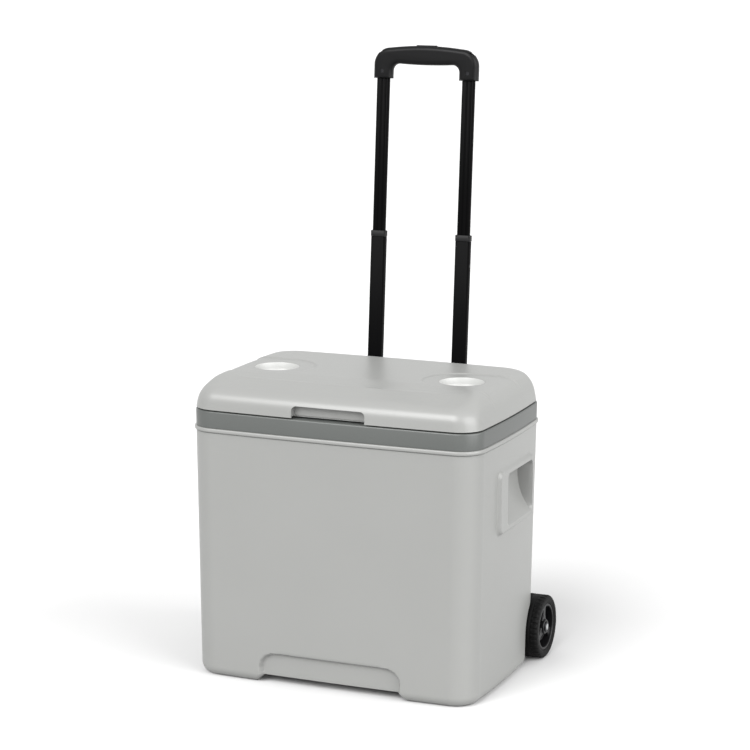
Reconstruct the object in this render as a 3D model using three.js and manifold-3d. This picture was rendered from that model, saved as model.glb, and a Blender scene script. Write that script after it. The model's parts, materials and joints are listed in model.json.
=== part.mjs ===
// Wheeled hard cooler with a telescopic handle, shown with the lid shut and the handle pulled out.
// Millimetres. X is the cooler's right, -Y its front, +Z up. The underside is at z = 0.
import * as THREE from 'three';
import { mergeVertices } from 'three/addons/utils/BufferGeometryUtils.js';
import Module from 'manifold-3d';

const wasm = await Module();
wasm.setup();

// ---- Driving sizes: box ----
const WIDTH = 480;
const DEPTH = 311;
const SHELL_TOP = 403;
const COLLAR_HEIGHT = 27;
const LID_HEIGHT = 48;
const CORNER = 40;
const BOW = 3.4;
const DRAFT = 5;
const FOOT_ROUND = 15.6;
const LIP_HEIGHT = 6;
const LIP_OUT = 2.6;
const SKIN = 3;
const FOAM = 26;
const LINER = 2.5;
const LINER_TAPER = 14;
const LINER_CORNER = 26;
const LINER_FLOOR_ROUND = 12;
const FLOOR_HEIGHT = 45;
const PART_LINE = 2;
const GAP = 0.3;
const PLUG_CLEAR = 3;
const PLUG_DEPTH = 12;

// ---- Driving sizes: lid features ----
const CUP_X = 158;
const CUP_Y = 0;
const CUP_RADIUS = 35;
const CUP_DEPTH = 15;
const CHANNEL_RADIUS = 62;
const CHANNEL_DEPTH = 1.5;
const NOTCH_HALF = 61;
const NOTCH_HEIGHT = 19;
const NOTCH_DEPTH = 9;
const NOTCH_ROUND = 8;

// ---- Driving sizes: shell features ----
const GRIP_FRONT = -60;
const GRIP_BACK = 95;
const GRIP_LOW = 254;
const GRIP_HIGH = 354;
const GRIP_PROUD = 7;
const SCOOP_DEPTH = 25;
const SCOOP_FRONT = 32;
const SCOOP_MARGIN = 9;
const RECESS_HALF = 118;
const RECESS_HEIGHT = 51;
const RECESS_DEPTH = 8;
const ARCH_HEIGHT = 13;
const ARCH_LENGTH = 60;

// ---- Driving sizes: wheels ----
const WHEEL_RADIUS = 51.5;
const WHEEL_WIDTH = 36;
const WHEEL_OUT = 13;
const RIM_RADIUS = 38;
const WELL_CLEAR = 8;
const WELL_SIDE = 3.5;
const AXLE_RADIUS = 5;
const GROOVE_CLEAR = 4;
const TREAD_NOTCHES = 18;
const HUB_BOSS = 12;
const SPOKE_WIDTH = 10;

// ---- Driving sizes: hinges ----
const HINGE_X = 150;
const HINGE_BEHIND = 7.5;
const KNUCKLE_RADIUS = 5;
const KNUCKLE_LENGTH = 14;
const PIN_RADIUS = 2;

// ---- Driving sizes: handle ----
const POLE_X = 74.5;
const POLE_BEHIND = 51.4;
const POLE_LEAN = 3.6;
const FIXED_TUBE = [29, 16.5];
const MID_TUBE = [25, 12.5];
const TOP_TUBE = [21.5, 8.8];
const GUIDE_BUSH = [31, 18.5];
const MID_BUSH = [26, 13.4];
const TUBE_WALL = 1.2;
const PLUG_PROUD = 0.1;
const PLUG_RADIUS = 3;
const PLUG_BELOW = 40;
const TUBE_IN_GRIP = 7;
const FIXED_LENGTH = 377;
const MID_SHOWN = 236;
const MID_INSIDE = 62;
const TOP_SHOWN = 250;
const TOP_INSIDE = 48;
const BUSH_HEIGHT = 10;
const GRIP_LEG_WIDTH = 32;
const GRIP_THICK = 19.5;
const GRIP_LEG = 24.5;
const GRIP_BAR = 30;
const GRIP_WALL = 3;
const GRIP_CORNER = 28;
const GRIP_CROWN = 4;
const BUTTON_LENGTH = 36;
const BUTTON_WIDTH = 9;
const BUTTON_PROUD = 1;

// ---- Worked out from them ----
const HALF_W = WIDTH / 2;
const HALF_D = DEPTH / 2;
const PARTING = SHELL_TOP + COLLAR_HEIGHT;
const LID_BASE = PARTING + PART_LINE;
const LID_TOP = LID_BASE + LID_HEIGHT;
const LINER_IN = SKIN + FOAM;
const WHEEL_Y = HALF_D - 0.5;
const WHEEL_Z = WHEEL_RADIUS + 0.5;
const WHEEL_OUTER = HALF_W + WHEEL_OUT;
const WHEEL_INNER = WHEEL_OUTER - WHEEL_WIDTH;
const WELL_RADIUS = WHEEL_RADIUS + WELL_CLEAR;
const WELL_INNER = WHEEL_INNER - WELL_SIDE;
const HINGE_Y = HALF_D + HINGE_BEHIND;
const GUIDE_TOP = 10;
const MID_TOP = GUIDE_TOP + MID_SHOWN - BUSH_HEIGHT;
const GRIP_FOOT = MID_TOP + BUSH_HEIGHT + TOP_SHOWN;
const GRIP_HALF = POLE_X + GRIP_LEG_WIDTH / 2;
const GRIP_UNDER = GRIP_FOOT + GRIP_LEG;
const GRIP_TOP = GRIP_UNDER + GRIP_BAR;
const FAR = 400;
const CORNER_STEPS = 5;
const SIDE_STEPS = 4;
const WHEEL_STEPS = 36;

const rad = (degrees) => degrees * Math.PI / 180;

// The handle's own frame: z along the poles, y square to them, origin at the parting line.
const LEAN = new THREE.Matrix4()
  .makeTranslation(0, HALF_D + POLE_BEHIND, PARTING)
  .multiply(new THREE.Matrix4().makeRotationX(-rad(POLE_LEAN)));

// ---- Solids ----
function signedVolume(points, faces) {
  const a = new THREE.Vector3();
  const b = new THREE.Vector3();
  const c = new THREE.Vector3();
  let total = 0;
  for (const [i, j, k] of faces) {
    a.fromArray(points[i]);
    b.fromArray(points[j]);
    c.fromArray(points[k]);
    total += a.dot(b.cross(c));
  }
  return total;
}

// A closed solid from points and faces, turned to face outwards.
function solid(points, faces, matrix = null) {
  const flip = signedVolume(points, faces) < 0;
  const index = faces.flatMap(([i, j, k]) => (flip ? [i, k, j] : [i, j, k]));
  let geometry = new THREE.BufferGeometry();
  geometry.setAttribute('position', new THREE.Float32BufferAttribute(points.flat(), 3));
  geometry.setIndex(index);
  if (matrix) geometry.applyMatrix4(matrix);
  geometry = mergeVertices(geometry, 1e-4);
  return new wasm.Manifold(new wasm.Mesh({
    numProp: 3,
    vertProperties: new Float32Array(geometry.attributes.position.array),
    triVerts: new Uint32Array(geometry.index.array),
  }));
}

// Triangles between closed rings of `count` points each.
function bands(rows, count) {
  const faces = [];
  for (let k = 0; k + 1 < rows; k++) {
    for (let i = 0; i < count; i++) {
      const a = k * count + i;
      const b = k * count + (i + 1) % count;
      faces.push([a, b, b + count], [a, b + count, a + count]);
    }
  }
  return faces;
}

// Skins a stack of closed rings that all have the same number of points.
function loft(rings, matrix = null) {
  const count = rings[0].length;
  const points = rings.flat();
  const faces = bands(rings.length, count);
  for (const [ring, start, turn] of [[rings[0], 0, 1], [rings.at(-1), points.length - count, 0]]) {
    const middle = ring.reduce((sum, p) => sum.map((v, axis) => v + p[axis] / count), [0, 0, 0]);
    points.push(middle);
    const hub = points.length - 1;
    for (let i = 0; i < count; i++) {
      const a = start + i;
      const b = start + (i + 1) % count;
      faces.push(turn ? [hub, b, a] : [hub, a, b]);
    }
  }
  return solid(points, faces, matrix);
}

// Pulls a flat outline along an axis. Outlines along x are (y, z), along y (x, z), along z (x, y).
function prism(outline, axis, low, high, matrix = null) {
  const flat = outline.map(([u, v]) => new THREE.Vector2(u, v));
  if (THREE.ShapeUtils.isClockWise(flat)) flat.reverse();
  const place = {
    x: (p, w) => [w, p.x, p.y],
    y: (p, w) => [p.x, w, p.y],
    z: (p, w) => [p.x, p.y, w],
  }[axis];
  const count = flat.length;
  const points = [...flat.map((p) => place(p, low)), ...flat.map((p) => place(p, high))];
  const faces = [];
  for (const [a, b, c] of THREE.ShapeUtils.triangulateShape(flat, [])) {
    faces.push([a, c, b], [a + count, b + count, c + count]);
  }
  for (let i = 0; i < count; i++) {
    const next = (i + 1) % count;
    faces.push([i, next, next + count], [i, next + count, i + count]);
  }
  return solid(points, faces, matrix);
}

const box = (x0, x1, y0, y1, z0, z1, matrix = null) =>
  prism([[x0, y0], [x1, y0], [x1, y1], [x0, y1]], 'z', z0, z1, matrix);

function circle(radius, u = 0, v = 0, steps = 32) {
  const points = [];
  for (let i = 0; i < steps; i++) {
    const a = 2 * Math.PI * i / steps;
    points.push([u + radius * Math.cos(a), v + radius * Math.sin(a)]);
  }
  return points;
}

// A rectangle with rounded corners, its sides bowed outwards by `bow` at their middles.
function rounded(left, right, front, back, radius, bow = 0, steps = CORNER_STEPS) {
  const corners = [
    [right - radius, back - radius],
    [left + radius, back - radius],
    [left + radius, front + radius],
    [right - radius, front + radius],
  ];
  const points = [];
  corners.forEach(([cx, cy], k) => {
    for (let i = 0; i <= steps; i++) {
      const a = rad(90 * (k + i / steps));
      points.push([cx + radius * Math.cos(a), cy + radius * Math.sin(a)]);
    }
    if (!bow) return;
    const out = [Math.round(Math.cos(rad(90 * (k + 1)))), Math.round(Math.sin(rad(90 * (k + 1))))];
    const [nx, ny] = corners[(k + 1) % 4];
    for (let i = 1; i < SIDE_STEPS; i++) {
      const s = i / SIDE_STEPS;
      const push = radius + bow * 4 * s * (1 - s);
      points.push([cx + (nx - cx) * s + out[0] * push, cy + (ny - cy) * s + out[1] * push]);
    }
  });
  return points;
}

const atHeight = (outline, z) => outline.map(([x, y]) => [x, y, z]);
const less = (from, ...cutters) => cutters.reduce((left, cutter) => left.subtract(cutter), from);
const join = (first, ...rest) => rest.reduce((sum, piece) => sum.add(piece), first);

// ---- Nodes ----
const group = new THREE.Group();
group.name = 'wheeled_cooler';

const LOOKS = {
  shell: [0xd9dbd6, 0.5, 0],
  trim: [0x858a87, 0.5, 0],
  inner: [0xeeefec, 0.4, 0],
  foam: [0xe8e2c8, 0.9, 0],
  black: [0x17181a, 0.45, 0],
  tube: [0x101113, 0.35, 0.4],
  steel: [0xb9bcc0, 0.3, 1],
  rubber: [0x131313, 0.85, 0],
  hub: [0x3a3c3f, 0.55, 0],
};

function add(name, piece, look) {
  const mesh = piece.getMesh();
  const geometry = new THREE.BufferGeometry();
  geometry.setAttribute('position', new THREE.BufferAttribute(new Float32Array(mesh.vertProperties), 3));
  geometry.setIndex(new THREE.BufferAttribute(new Uint32Array(mesh.triVerts), 1));
  geometry.computeVertexNormals();
  const [color, roughness, metalness] = LOOKS[look];
  const node = new THREE.Mesh(geometry, new THREE.MeshStandardMaterial({ color, roughness, metalness }));
  node.name = name;
  group.add(node);
}

const SIDES = [['left', -1], ['right', 1]];

// ---- Shell, foam and liner ----
function shellOutline(off, z, inset = 0) {
  const draft = DRAFT * (1 - z / SHELL_TOP);
  const w = HALF_W - draft - inset + off;
  const d = HALF_D - draft - inset + off;
  return atHeight(rounded(-w, w, -d, d, CORNER + off, BOW), z);
}

// The shell's outer form, grown by `off` (shrunk when negative), with its rounded bottom edge.
function shellForm(off, top) {
  const round = FOOT_ROUND + off;
  const rings = [0, 22.5, 45, 67.5, 90].map((a) => shellOutline(
    off, -off + round * (1 - Math.cos(rad(a))), round * (1 - Math.sin(rad(a))),
  ));
  rings.push(shellOutline(off, top));
  return loft(rings);
}

function lipForm() {
  const z = SHELL_TOP - LIP_HEIGHT;
  return loft([
    shellOutline(-SKIN / 2, z),
    shellOutline(LIP_OUT - 1, z + 0.4),
    shellOutline(LIP_OUT, z + 1.4),
    shellOutline(LIP_OUT, SHELL_TOP - 0.8),
    shellOutline(LIP_OUT - 0.8, SHELL_TOP),
  ]);
}

// The raised frame around a side hand grip.
function gripFrame(side) {
  const face = HALF_W + GRIP_PROUD;
  const layers = [[HALF_W - 12, -3], [face - 3, 0], [face - 1, 1], [face, 3]];
  return loft(layers.map(([x, inset]) => rounded(
    GRIP_FRONT + inset, GRIP_BACK - inset, GRIP_LOW + inset, GRIP_HIGH - inset, 10 - inset,
  ).map(([y, z]) => [side * x, y, z])));
}

// The finger scoop inside it: shallow at the bottom, deepest under the top lip.
function gripScoop(side, off) {
  const face = HALF_W + GRIP_PROUD;
  const low = GRIP_LOW + SCOOP_MARGIN - off;
  const high = GRIP_HIGH - SCOOP_MARGIN - 1 + off;
  const deep = face - SCOOP_DEPTH - off;
  const outline = [
    [face + 9, low],
    [face - 1 - off, low],
    [deep + 15, low + 12],
    [deep + 7, low + 28],
    [deep + 2, low + 52],
    [deep, high + 5],
    [face - 12, high + 5],
    [face - 8, high],
    [face + 9, high],
  ];
  const front = GRIP_FRONT + SCOOP_FRONT - off;
  const back = GRIP_BACK - SCOOP_MARGIN + off;
  return prism(outline.map(([x, z]) => [side * x, z]), 'y', front, back);
}

// The shallow bay in the front face over the underside, and the arch under it.
function frontBay(off) {
  const half = [
    [RECESS_HALF + 13 + off, -1],
    [RECESS_HALF - 1 + off, ARCH_HEIGHT],
    [RECESS_HALF + 1 + off, ARCH_HEIGHT * 2],
    [RECESS_HALF - 4 + off, RECESS_HEIGHT - 13 + off],
    [RECESS_HALF - 15 + off, RECESS_HEIGHT - 4 + off],
    [RECESS_HALF - 36, RECESS_HEIGHT + off],
  ];
  const outline = [...half, ...half.map(([x, z]) => [-x, z]).reverse()];
  return prism(outline, 'y', -FAR, -HALF_D + DRAFT + RECESS_DEPTH + off);
}

function frontArch(off) {
  const reach = RECESS_HALF - 4 + off;
  const top = ARCH_HEIGHT + off;
  const outline = [[-reach - 15, -1], [-reach, top], [reach, top], [reach + 15, -1]];
  return prism(outline, 'y', -FAR, -HALF_D + ARCH_LENGTH + off);
}

function wheelWell(side, off) {
  const radius = WELL_RADIUS + off;
  const arch = prism(circle(radius, WHEEL_Y, WHEEL_Z, WHEEL_STEPS), 'x', side * (WELL_INNER - off), side * FAR);
  const x = [side * (WELL_INNER - off), side * FAR].sort((a, b) => a - b);
  const below = box(...x, WHEEL_Y - radius, FAR, -20, WHEEL_Z);
  const behind = box(...x, WHEEL_Y, FAR, -20, WHEEL_Z + radius);
  return join(arch, below, behind);
}

const axleGroove = (off) => box(
  -FAR, FAR, WHEEL_Y - AXLE_RADIUS - GROOVE_CLEAR - off, FAR,
  WHEEL_Z - AXLE_RADIUS - GROOVE_CLEAR - off, WHEEL_Z + AXLE_RADIUS + GROOVE_CLEAR + off,
);

const cutters = (off) => [
  frontBay(off), frontArch(off), axleGroove(off),
  ...SIDES.flatMap(([, side]) => [wheelWell(side, off), gripScoop(side, off)]),
];

const shellOuter = less(
  join(shellForm(0, SHELL_TOP), lipForm(), ...SIDES.map(([, side]) => gripFrame(side))),
  ...cutters(0),
);
const shellVoid = less(shellForm(-SKIN, PARTING), ...cutters(SKIN));
add('outer_shell', less(shellOuter, shellVoid), 'shell');

// The liner's outer form, shrunk by `off`; it narrows towards its floor.
function linerForm(off, top) {
  const low = FLOOR_HEIGHT + off;
  const round = LINER_FLOOR_ROUND;
  const outline = (z, inset) => {
    const taper = LINER_TAPER * (PARTING - z) / (PARTING - FLOOR_HEIGHT);
    const w = HALF_W - LINER_IN - taper - off - inset;
    const d = HALF_D - LINER_IN - taper - off - inset;
    return atHeight(rounded(-w, w, -d, d, LINER_CORNER - off), z);
  };
  return loft([
    outline(low, round),
    outline(low + round * 0.3, round * 0.3),
    outline(low + round, 0),
    outline(top, 0),
  ]);
}
add('inner_liner', less(linerForm(0, PARTING), linerForm(LINER, PARTING + 5)), 'inner');

// ---- Collar: an upside-down channel over the foam's edge ----
const straight = (inset, low, high, radius, bow = 0) => {
  const w = HALF_W - inset;
  const d = HALF_D - inset;
  return loft([low, high].map((z) => atHeight(rounded(-w, w, -d, d, radius, bow), z)));
};
const COLLAR_BASE = SHELL_TOP + GAP;
const COLLAR_BORE = LINER_IN - GAP;
const collarOuter = loft([
  shellOutline(0, COLLAR_BASE),
  shellOutline(0, PARTING - 2.5),
  shellOutline(-0.7, PARTING - 0.8),
  shellOutline(-1.5, PARTING),
]);
const collarChannel = less(
  straight(SKIN, COLLAR_BASE - 1, PARTING - SKIN, CORNER - SKIN, BOW),
  straight(COLLAR_BORE - SKIN, COLLAR_BASE - 2, PARTING, LINER_CORNER + SKIN),
);
const COLLAR_TOP_CUT = PARTING + 1;
const collarRing = less(
  collarOuter, straight(COLLAR_BORE, COLLAR_BASE - 2, COLLAR_TOP_CUT, LINER_CORNER), collarChannel,
);

// Foam: below the collar it fills the shell, above it the collar's channel.
const foamLow = shellForm(-SKIN - GAP, SHELL_TOP - GAP);
const foamHigh = less(
  straight(SKIN + GAP, SHELL_TOP - 1, PARTING - SKIN - GAP, CORNER - SKIN - GAP, BOW),
  straight(COLLAR_BORE - SKIN - GAP, SHELL_TOP - GAP, PARTING, LINER_CORNER + SKIN + GAP),
);
add('foam_core', less(
  join(foamLow, foamHigh), linerForm(-GAP, PARTING), ...cutters(SKIN + GAP),
), 'foam');

// ---- Lid ----
// Heights as parts of the lid's height, with how far the side, front and back have come in there.
const LID_RINGS = [
  [0, 1, -1.5, 0.5],
  [0.35, 4.7, -0.5, 1],
  [0.62, 9.5, 4.5, 2.5],
  [0.79, 15.6, 13.5, 6],
  [0.9, 21, 27, 10.5],
  [0.96, 27, 43, 16.5],
  [1, 42, 60, 27],
];

function lidForm(off, base) {
  return loft(LID_RINGS.map(([part, side, front, back], k) => {
    const z = k ? LID_BASE + LID_HEIGHT * part - off * part : base;
    const w = HALF_W - side - off;
    return atHeight(rounded(-w, w, -HALF_D + front + off, HALF_D - back - off, CORNER - off, BOW), z);
  }));
}

function cupCutter(side, off) {
  const floor = LID_TOP - CHANNEL_DEPTH - CUP_DEPTH - off;
  const rim = LID_TOP - CHANNEL_DEPTH;
  const radius = CUP_RADIUS + off;
  const layers = [[floor, radius - 2], [floor + 3, radius], [rim - 2, radius], [rim, radius + 1.5]];
  layers.push([LID_TOP + 5, radius + 1.5]);
  return loft(layers.map(([z, r]) => atHeight(circle(r, side * CUP_X, CUP_Y, 28), z)));
}

// The shallow channel around a cup well, which runs out over the lid's end.
function channelCutter(side, off) {
  const radius = CHANNEL_RADIUS + off;
  const floor = LID_TOP - CHANNEL_DEPTH - off;
  const disc = prism(circle(radius, side * CUP_X, CUP_Y, 32), 'z', floor, LID_TOP + 5);
  const x = [side * CUP_X, side * FAR].sort((a, b) => a - b);
  return join(disc, box(...x, CUP_Y - radius, CUP_Y + radius, floor, LID_TOP + 5));
}

function notchCutter(off) {
  const half = NOTCH_HALF + off;
  const round = NOTCH_ROUND + off;
  const outline = rounded(-half, half, LID_BASE - 20, LID_BASE + NOTCH_HEIGHT + off, round);
  return prism(outline, 'y', -FAR, -HALF_D + NOTCH_DEPTH + off);
}

const lidCutters = (off) => [
  notchCutter(off),
  ...SIDES.flatMap(([, side]) => [cupCutter(side, off), channelCutter(side, off)]),
];

// Hinge knuckles: the middle one is the lid's, the outer two are the collar's.
const rodX = (radius, x0, x1, y, z, steps = 16) => prism(circle(radius, y, z, steps), 'x', x0, x1);
function knuckle(x, onLid) {
  const low = x - KNUCKLE_LENGTH / 2;
  const high = x + KNUCKLE_LENGTH / 2;
  const web = onLid
    ? box(low, high, HALF_D - 2, HINGE_Y, LID_BASE, LID_BASE + KNUCKLE_RADIUS + 1)
    : box(low, high, HALF_D - 2, HINGE_Y, PARTING - 9, PARTING - 0.5);
  return join(rodX(KNUCKLE_RADIUS, low, high, HINGE_Y, LID_BASE), web);
}
const pinBore = (x) => rodX(PIN_RADIUS + GAP, x - 40, x + 40, HINGE_Y, LID_BASE);
const OUTER_KNUCKLE = KNUCKLE_LENGTH + 0.5;
const collarKnuckleX = SIDES.flatMap(
  ([, side]) => [-1, 1].map((end) => side * HINGE_X + end * OUTER_KNUCKLE),
);
const lidKnuckleX = SIDES.map(([, side]) => side * HINGE_X);
// Room for the other part's knuckle to turn in.
const knuckleRoom = (x) => rodX(
  KNUCKLE_RADIUS + 1, x - KNUCKLE_LENGTH / 2 - 0.25, x + KNUCKLE_LENGTH / 2 + 0.25, HINGE_Y, LID_BASE,
);
const hingeBores = lidKnuckleX.map(pinBore);
const collarKnuckles = collarKnuckleX.map((x) => knuckle(x, false));
const lidKnuckles = lidKnuckleX.map((x) => knuckle(x, true));
add('collar', less(
  join(less(collarRing, ...lidKnuckleX.map(knuckleRoom)), ...collarKnuckles), ...hingeBores, collarChannel,
), 'trim');

const lidVoid = less(lidForm(SKIN, LID_BASE - 5), ...lidCutters(SKIN));
add('lid_shell', less(
  join(less(lidForm(0, LID_BASE), ...lidCutters(0), ...collarKnuckleX.map(knuckleRoom)), ...lidKnuckles),
  lidVoid, ...hingeBores,
), 'shell');

// Lid liner: a plate inside the lid's rim and a shallow plug that sits inside the liner.
const lidFill = less(lidForm(SKIN + GAP, LID_BASE - 5), ...lidCutters(SKIN + GAP));
const PLATE_LOW = LID_BASE + GAP;
const PLATE_HIGH = PLATE_LOW + LINER;
const PLUG_IN = LINER_IN + LINER + PLUG_CLEAR;
const PLUG_CORNER = 22;
const plate = lidFill.intersect(box(-FAR, FAR, -FAR, FAR, PLATE_LOW, PLATE_HIGH));
const plug = straight(PLUG_IN, PARTING - PLUG_DEPTH, PLATE_HIGH, PLUG_CORNER);
const plugHollow = straight(
  PLUG_IN + LINER, PARTING - PLUG_DEPTH + LINER, PLATE_HIGH + 5, PLUG_CORNER - LINER,
);
add('lid_liner', less(join(plate, plug), plugHollow), 'inner');
add('lid_foam', join(
  lidFill.intersect(box(-FAR, FAR, -FAR, FAR, PLATE_HIGH + GAP, FAR * 2)),
  straight(
    PLUG_IN + LINER + GAP, PARTING - PLUG_DEPTH + LINER + GAP, PLATE_HIGH + 1, PLUG_CORNER - LINER - GAP,
  ),
), 'foam');
add('lid_gasket', less(
  straight(PLUG_IN - 11, PARTING + GAP, LID_BASE, 32),
  straight(PLUG_IN - 5, PARTING, LID_BASE + 1, 26),
), 'rubber');
const PIN_HALF = OUTER_KNUCKLE + KNUCKLE_LENGTH / 2;
for (const [word, side] of SIDES) {
  const x = side * HINGE_X;
  add(`hinge_pin_${word}`, rodX(PIN_RADIUS, x - PIN_HALF, x + PIN_HALF, HINGE_Y, LID_BASE), 'steel');
}

// ---- Handle housing on the back ----
const oval = ([w, d], grow = 0, round = 3) => rounded(
  -w / 2 - grow, w / 2 + grow, -d / 2 - grow, d / 2 + grow, round, 0, 3,
);
const shifted = (outline, x) => outline.map(([u, v]) => [u + x, v]);
const pole = (size, side, grow, low, high) => prism(
  shifted(oval(size, grow), side * POLE_X), 'z', low, high, LEAN,
);
const HOUSING_HALF = POLE_X + FIXED_TUBE[0] / 2 + 9;
const HOUSING_WALL = 3;
const HOUSING_LOW = 20;
const HOUSING_HIGH = PARTING - 6;
const tubeBack = (z) => HALF_D + POLE_BEHIND + FIXED_TUBE[1] / 2 + (z - PARTING) * Math.tan(rad(POLE_LEAN));
const backBlock = (half, low, high, off) => prism([
  [HALF_D - 20, low], [HALF_D - 20, high], [tubeBack(high) + off, high], [tubeBack(low) + off, low],
], 'x', -half, half);
const clearOfShell = (piece) => less(
  piece,
  shellForm(GAP, SHELL_TOP),
  straight(-GAP - LIP_OUT, SHELL_TOP - LIP_HEIGHT - 1, PARTING + 1, CORNER, BOW),
);
const axleBore = rodX(AXLE_RADIUS + GAP, -FAR, FAR, WHEEL_Y, WHEEL_Z);
add('rear_housing', less(
  clearOfShell(backBlock(HOUSING_HALF, HOUSING_LOW, HOUSING_HIGH, 1 + HOUSING_WALL)),
  backBlock(HOUSING_HALF - HOUSING_WALL, HOUSING_LOW - 1, HOUSING_HIGH + 1, 1),
  axleBore,
), 'black');

const FIXED_TOP = GUIDE_TOP - 8;
const tubeBores = SIDES.map(([, side]) => pole(FIXED_TUBE, side, GAP, FIXED_TOP - FIXED_LENGTH - GAP, FAR));
const BLOCK_HALF = HOUSING_HALF - HOUSING_WALL - GAP;
const innerBlock = (low, high) => less(
  clearOfShell(backBlock(BLOCK_HALF, low, high, 1 - GAP)), ...tubeBores, axleBore,
);
add('top_guide', innerBlock(HOUSING_HIGH - 24, HOUSING_HIGH), 'black');
add('axle_bracket', innerBlock(HOUSING_LOW, WHEEL_Z + 40), 'black');

// ---- Telescopic tubes ----
const pipe = (size, side, low, high) => less(
  pole(size, side, 0, low, high), pole(size, side, -TUBE_WALL, low - 1, high + 1),
);
const bush = (inside, outside, side, low, high) => less(
  pole(outside, side, 0, low, high), pole(inside, side, GAP, low - 1, high + 1),
);
for (const [word, side] of SIDES) {
  add(`fixed_tube_${word}`, pipe(FIXED_TUBE, side, FIXED_TOP - FIXED_LENGTH, FIXED_TOP), 'tube');
  add(`guide_bush_${word}`, bush(MID_TUBE, GUIDE_BUSH, side, FIXED_TOP + GAP, GUIDE_TOP), 'black');
  const plugX = side * (POLE_X + MID_TUBE[0] / 2 - TUBE_WALL / 2);
  const plugHole = (grow, inner, outer) => prism(
    circle(PLUG_RADIUS + grow, 0, MID_TOP - PLUG_BELOW, 16),
    'x', plugX + side * inner, plugX + side * outer, LEAN,
  );
  add(`mid_tube_${word}`, less(
    pipe(MID_TUBE, side, -MID_INSIDE, MID_TOP), plugHole(GAP, -2, 2),
  ), 'tube');
  add(`mid_bush_${word}`, bush(TOP_TUBE, MID_BUSH, side, MID_TOP + GAP, MID_TOP + BUSH_HEIGHT), 'black');
  add(`lock_plug_${word}`, plugHole(0, -TUBE_WALL / 2, TUBE_WALL / 2 + PLUG_PROUD), 'black');
  add(`top_tube_${word}`, pipe(TOP_TUBE, side, MID_TOP - TOP_INSIDE, GRIP_UNDER + TUBE_IN_GRIP), 'tube');
}

// ---- Hand grip ----
// Its outline in the handle's frame; `off` moves it inwards.
function gripOutline(off) {
  const arc = (cx, cz, r, from, to, steps) => {
    const points = [];
    for (let i = 0; i <= steps; i++) {
      const a = rad(from + (to - from) * i / steps);
      points.push([cx + r * Math.cos(a), cz + r * Math.sin(a)]);
    }
    return points;
  };
  const legInner = POLE_X - GRIP_LEG_WIDTH / 2;
  const cornerX = GRIP_HALF - GRIP_CORNER;
  const side = [
    [legInner + off, GRIP_FOOT],
    [GRIP_HALF - off, GRIP_FOOT],
    ...arc(cornerX, GRIP_TOP - GRIP_CORNER - GRIP_CROWN, GRIP_CORNER - off, 0, 84, 7),
    [GRIP_HALF / 3, GRIP_TOP - GRIP_CROWN / 5 - off],
  ];
  const under = arc(legInner - 12, GRIP_UNDER - 12, 12 + off, 0, 90, 4).reverse();
  const half = [...under, ...side];
  return [...half, ...half.map(([x, z]) => [-x, z]).reverse()];
}
const HALF_THICK = GRIP_THICK / 2;
const CAVITY_HALF = HALF_THICK - GRIP_WALL;
const GRIP_LAYERS = [[0, 0], [HALF_THICK - 5.5, 0], [HALF_THICK - 1.6, 2], [HALF_THICK, 5.5]];

// Skins one half of the grip. Its flat ends are triangulated, since the outline is not convex.
function gripHalf(facing) {
  const rings = GRIP_LAYERS.map(([y, inset]) => gripOutline(inset).map(([x, z]) => [x, facing * y, z]));
  const count = rings[0].length;
  const faces = bands(rings.length, count);
  for (const [k, turned] of [[0, true], [rings.length - 1, false]]) {
    const flat = rings[k].map(([x, , z]) => new THREE.Vector2(x, z));
    const clockwise = THREE.ShapeUtils.isClockWise(flat);
    for (const [a, b, c] of THREE.ShapeUtils.triangulateShape(flat, [])) {
      const face = [a + k * count, b + k * count, c + k * count];
      faces.push(turned !== clockwise ? face.reverse() : face);
    }
  }
  return solid(rings.flat(), faces, LEAN);
}

const gripCavity = box(
  -GRIP_HALF + 8, GRIP_HALF - 8, -CAVITY_HALF, CAVITY_HALF, GRIP_UNDER + GRIP_WALL + 1, GRIP_TOP - 9, LEAN,
);
const BRIDGE_LOW = GRIP_UNDER + 14;
const BRIDGE_HIGH = BRIDGE_LOW + 4;
const buttonSlot = box(
  -BUTTON_LENGTH / 2 - 0.5, BUTTON_LENGTH / 2 + 0.5, -BUTTON_WIDTH / 2 - 0.5, BUTTON_WIDTH / 2 + 0.5,
  GRIP_TOP - 15, GRIP_TOP + 5, LEAN,
);
const legBores = SIDES.map(
  ([, side]) => pole(TOP_TUBE, side, GAP, GRIP_FOOT - 5, GRIP_UNDER + TUBE_IN_GRIP + 1),
);
const SCREW_Z = GRIP_FOOT + 12;
const SCREW_RADIUS = 3;
const SCREW_SINK = 2.6;
const rodY = (radius, x, z, y0, y1, steps = 20) => prism(circle(radius, x, z, steps), 'y', y0, y1, LEAN);
const screwHoles = SIDES.map(([, side]) => rodY(
  SCREW_RADIUS + GAP, side * POLE_X, SCREW_Z, -HALF_THICK - 1, -HALF_THICK + SCREW_SINK,
));
const clearance = (facing) => {
  const y = [facing * -FAR, facing * GAP / 2].sort((a, b) => a - b);
  return box(-FAR, FAR, ...y, GRIP_FOOT - 20, GRIP_TOP + 20, LEAN);
};
for (const [word, facing] of [['front', -1], ['rear', 1]]) {
  const cuts = [gripCavity, buttonSlot, clearance(facing), ...legBores];
  if (facing < 0) cuts.push(...screwHoles);
  add(`grip_${word}`, less(gripHalf(facing), ...cuts), 'black');
}
for (const [word, side] of SIDES) {
  const x = side * POLE_X;
  const head = rodY(SCREW_RADIUS, x, SCREW_Z, -HALF_THICK + 1, -HALF_THICK + SCREW_SINK - GAP);
  const socket = prism(circle(1.5, x, SCREW_Z, 6), 'y', -HALF_THICK, -HALF_THICK + 1.7, LEAN);
  add(`grip_screw_${word}`, less(head, socket), 'steel');
}

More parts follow.
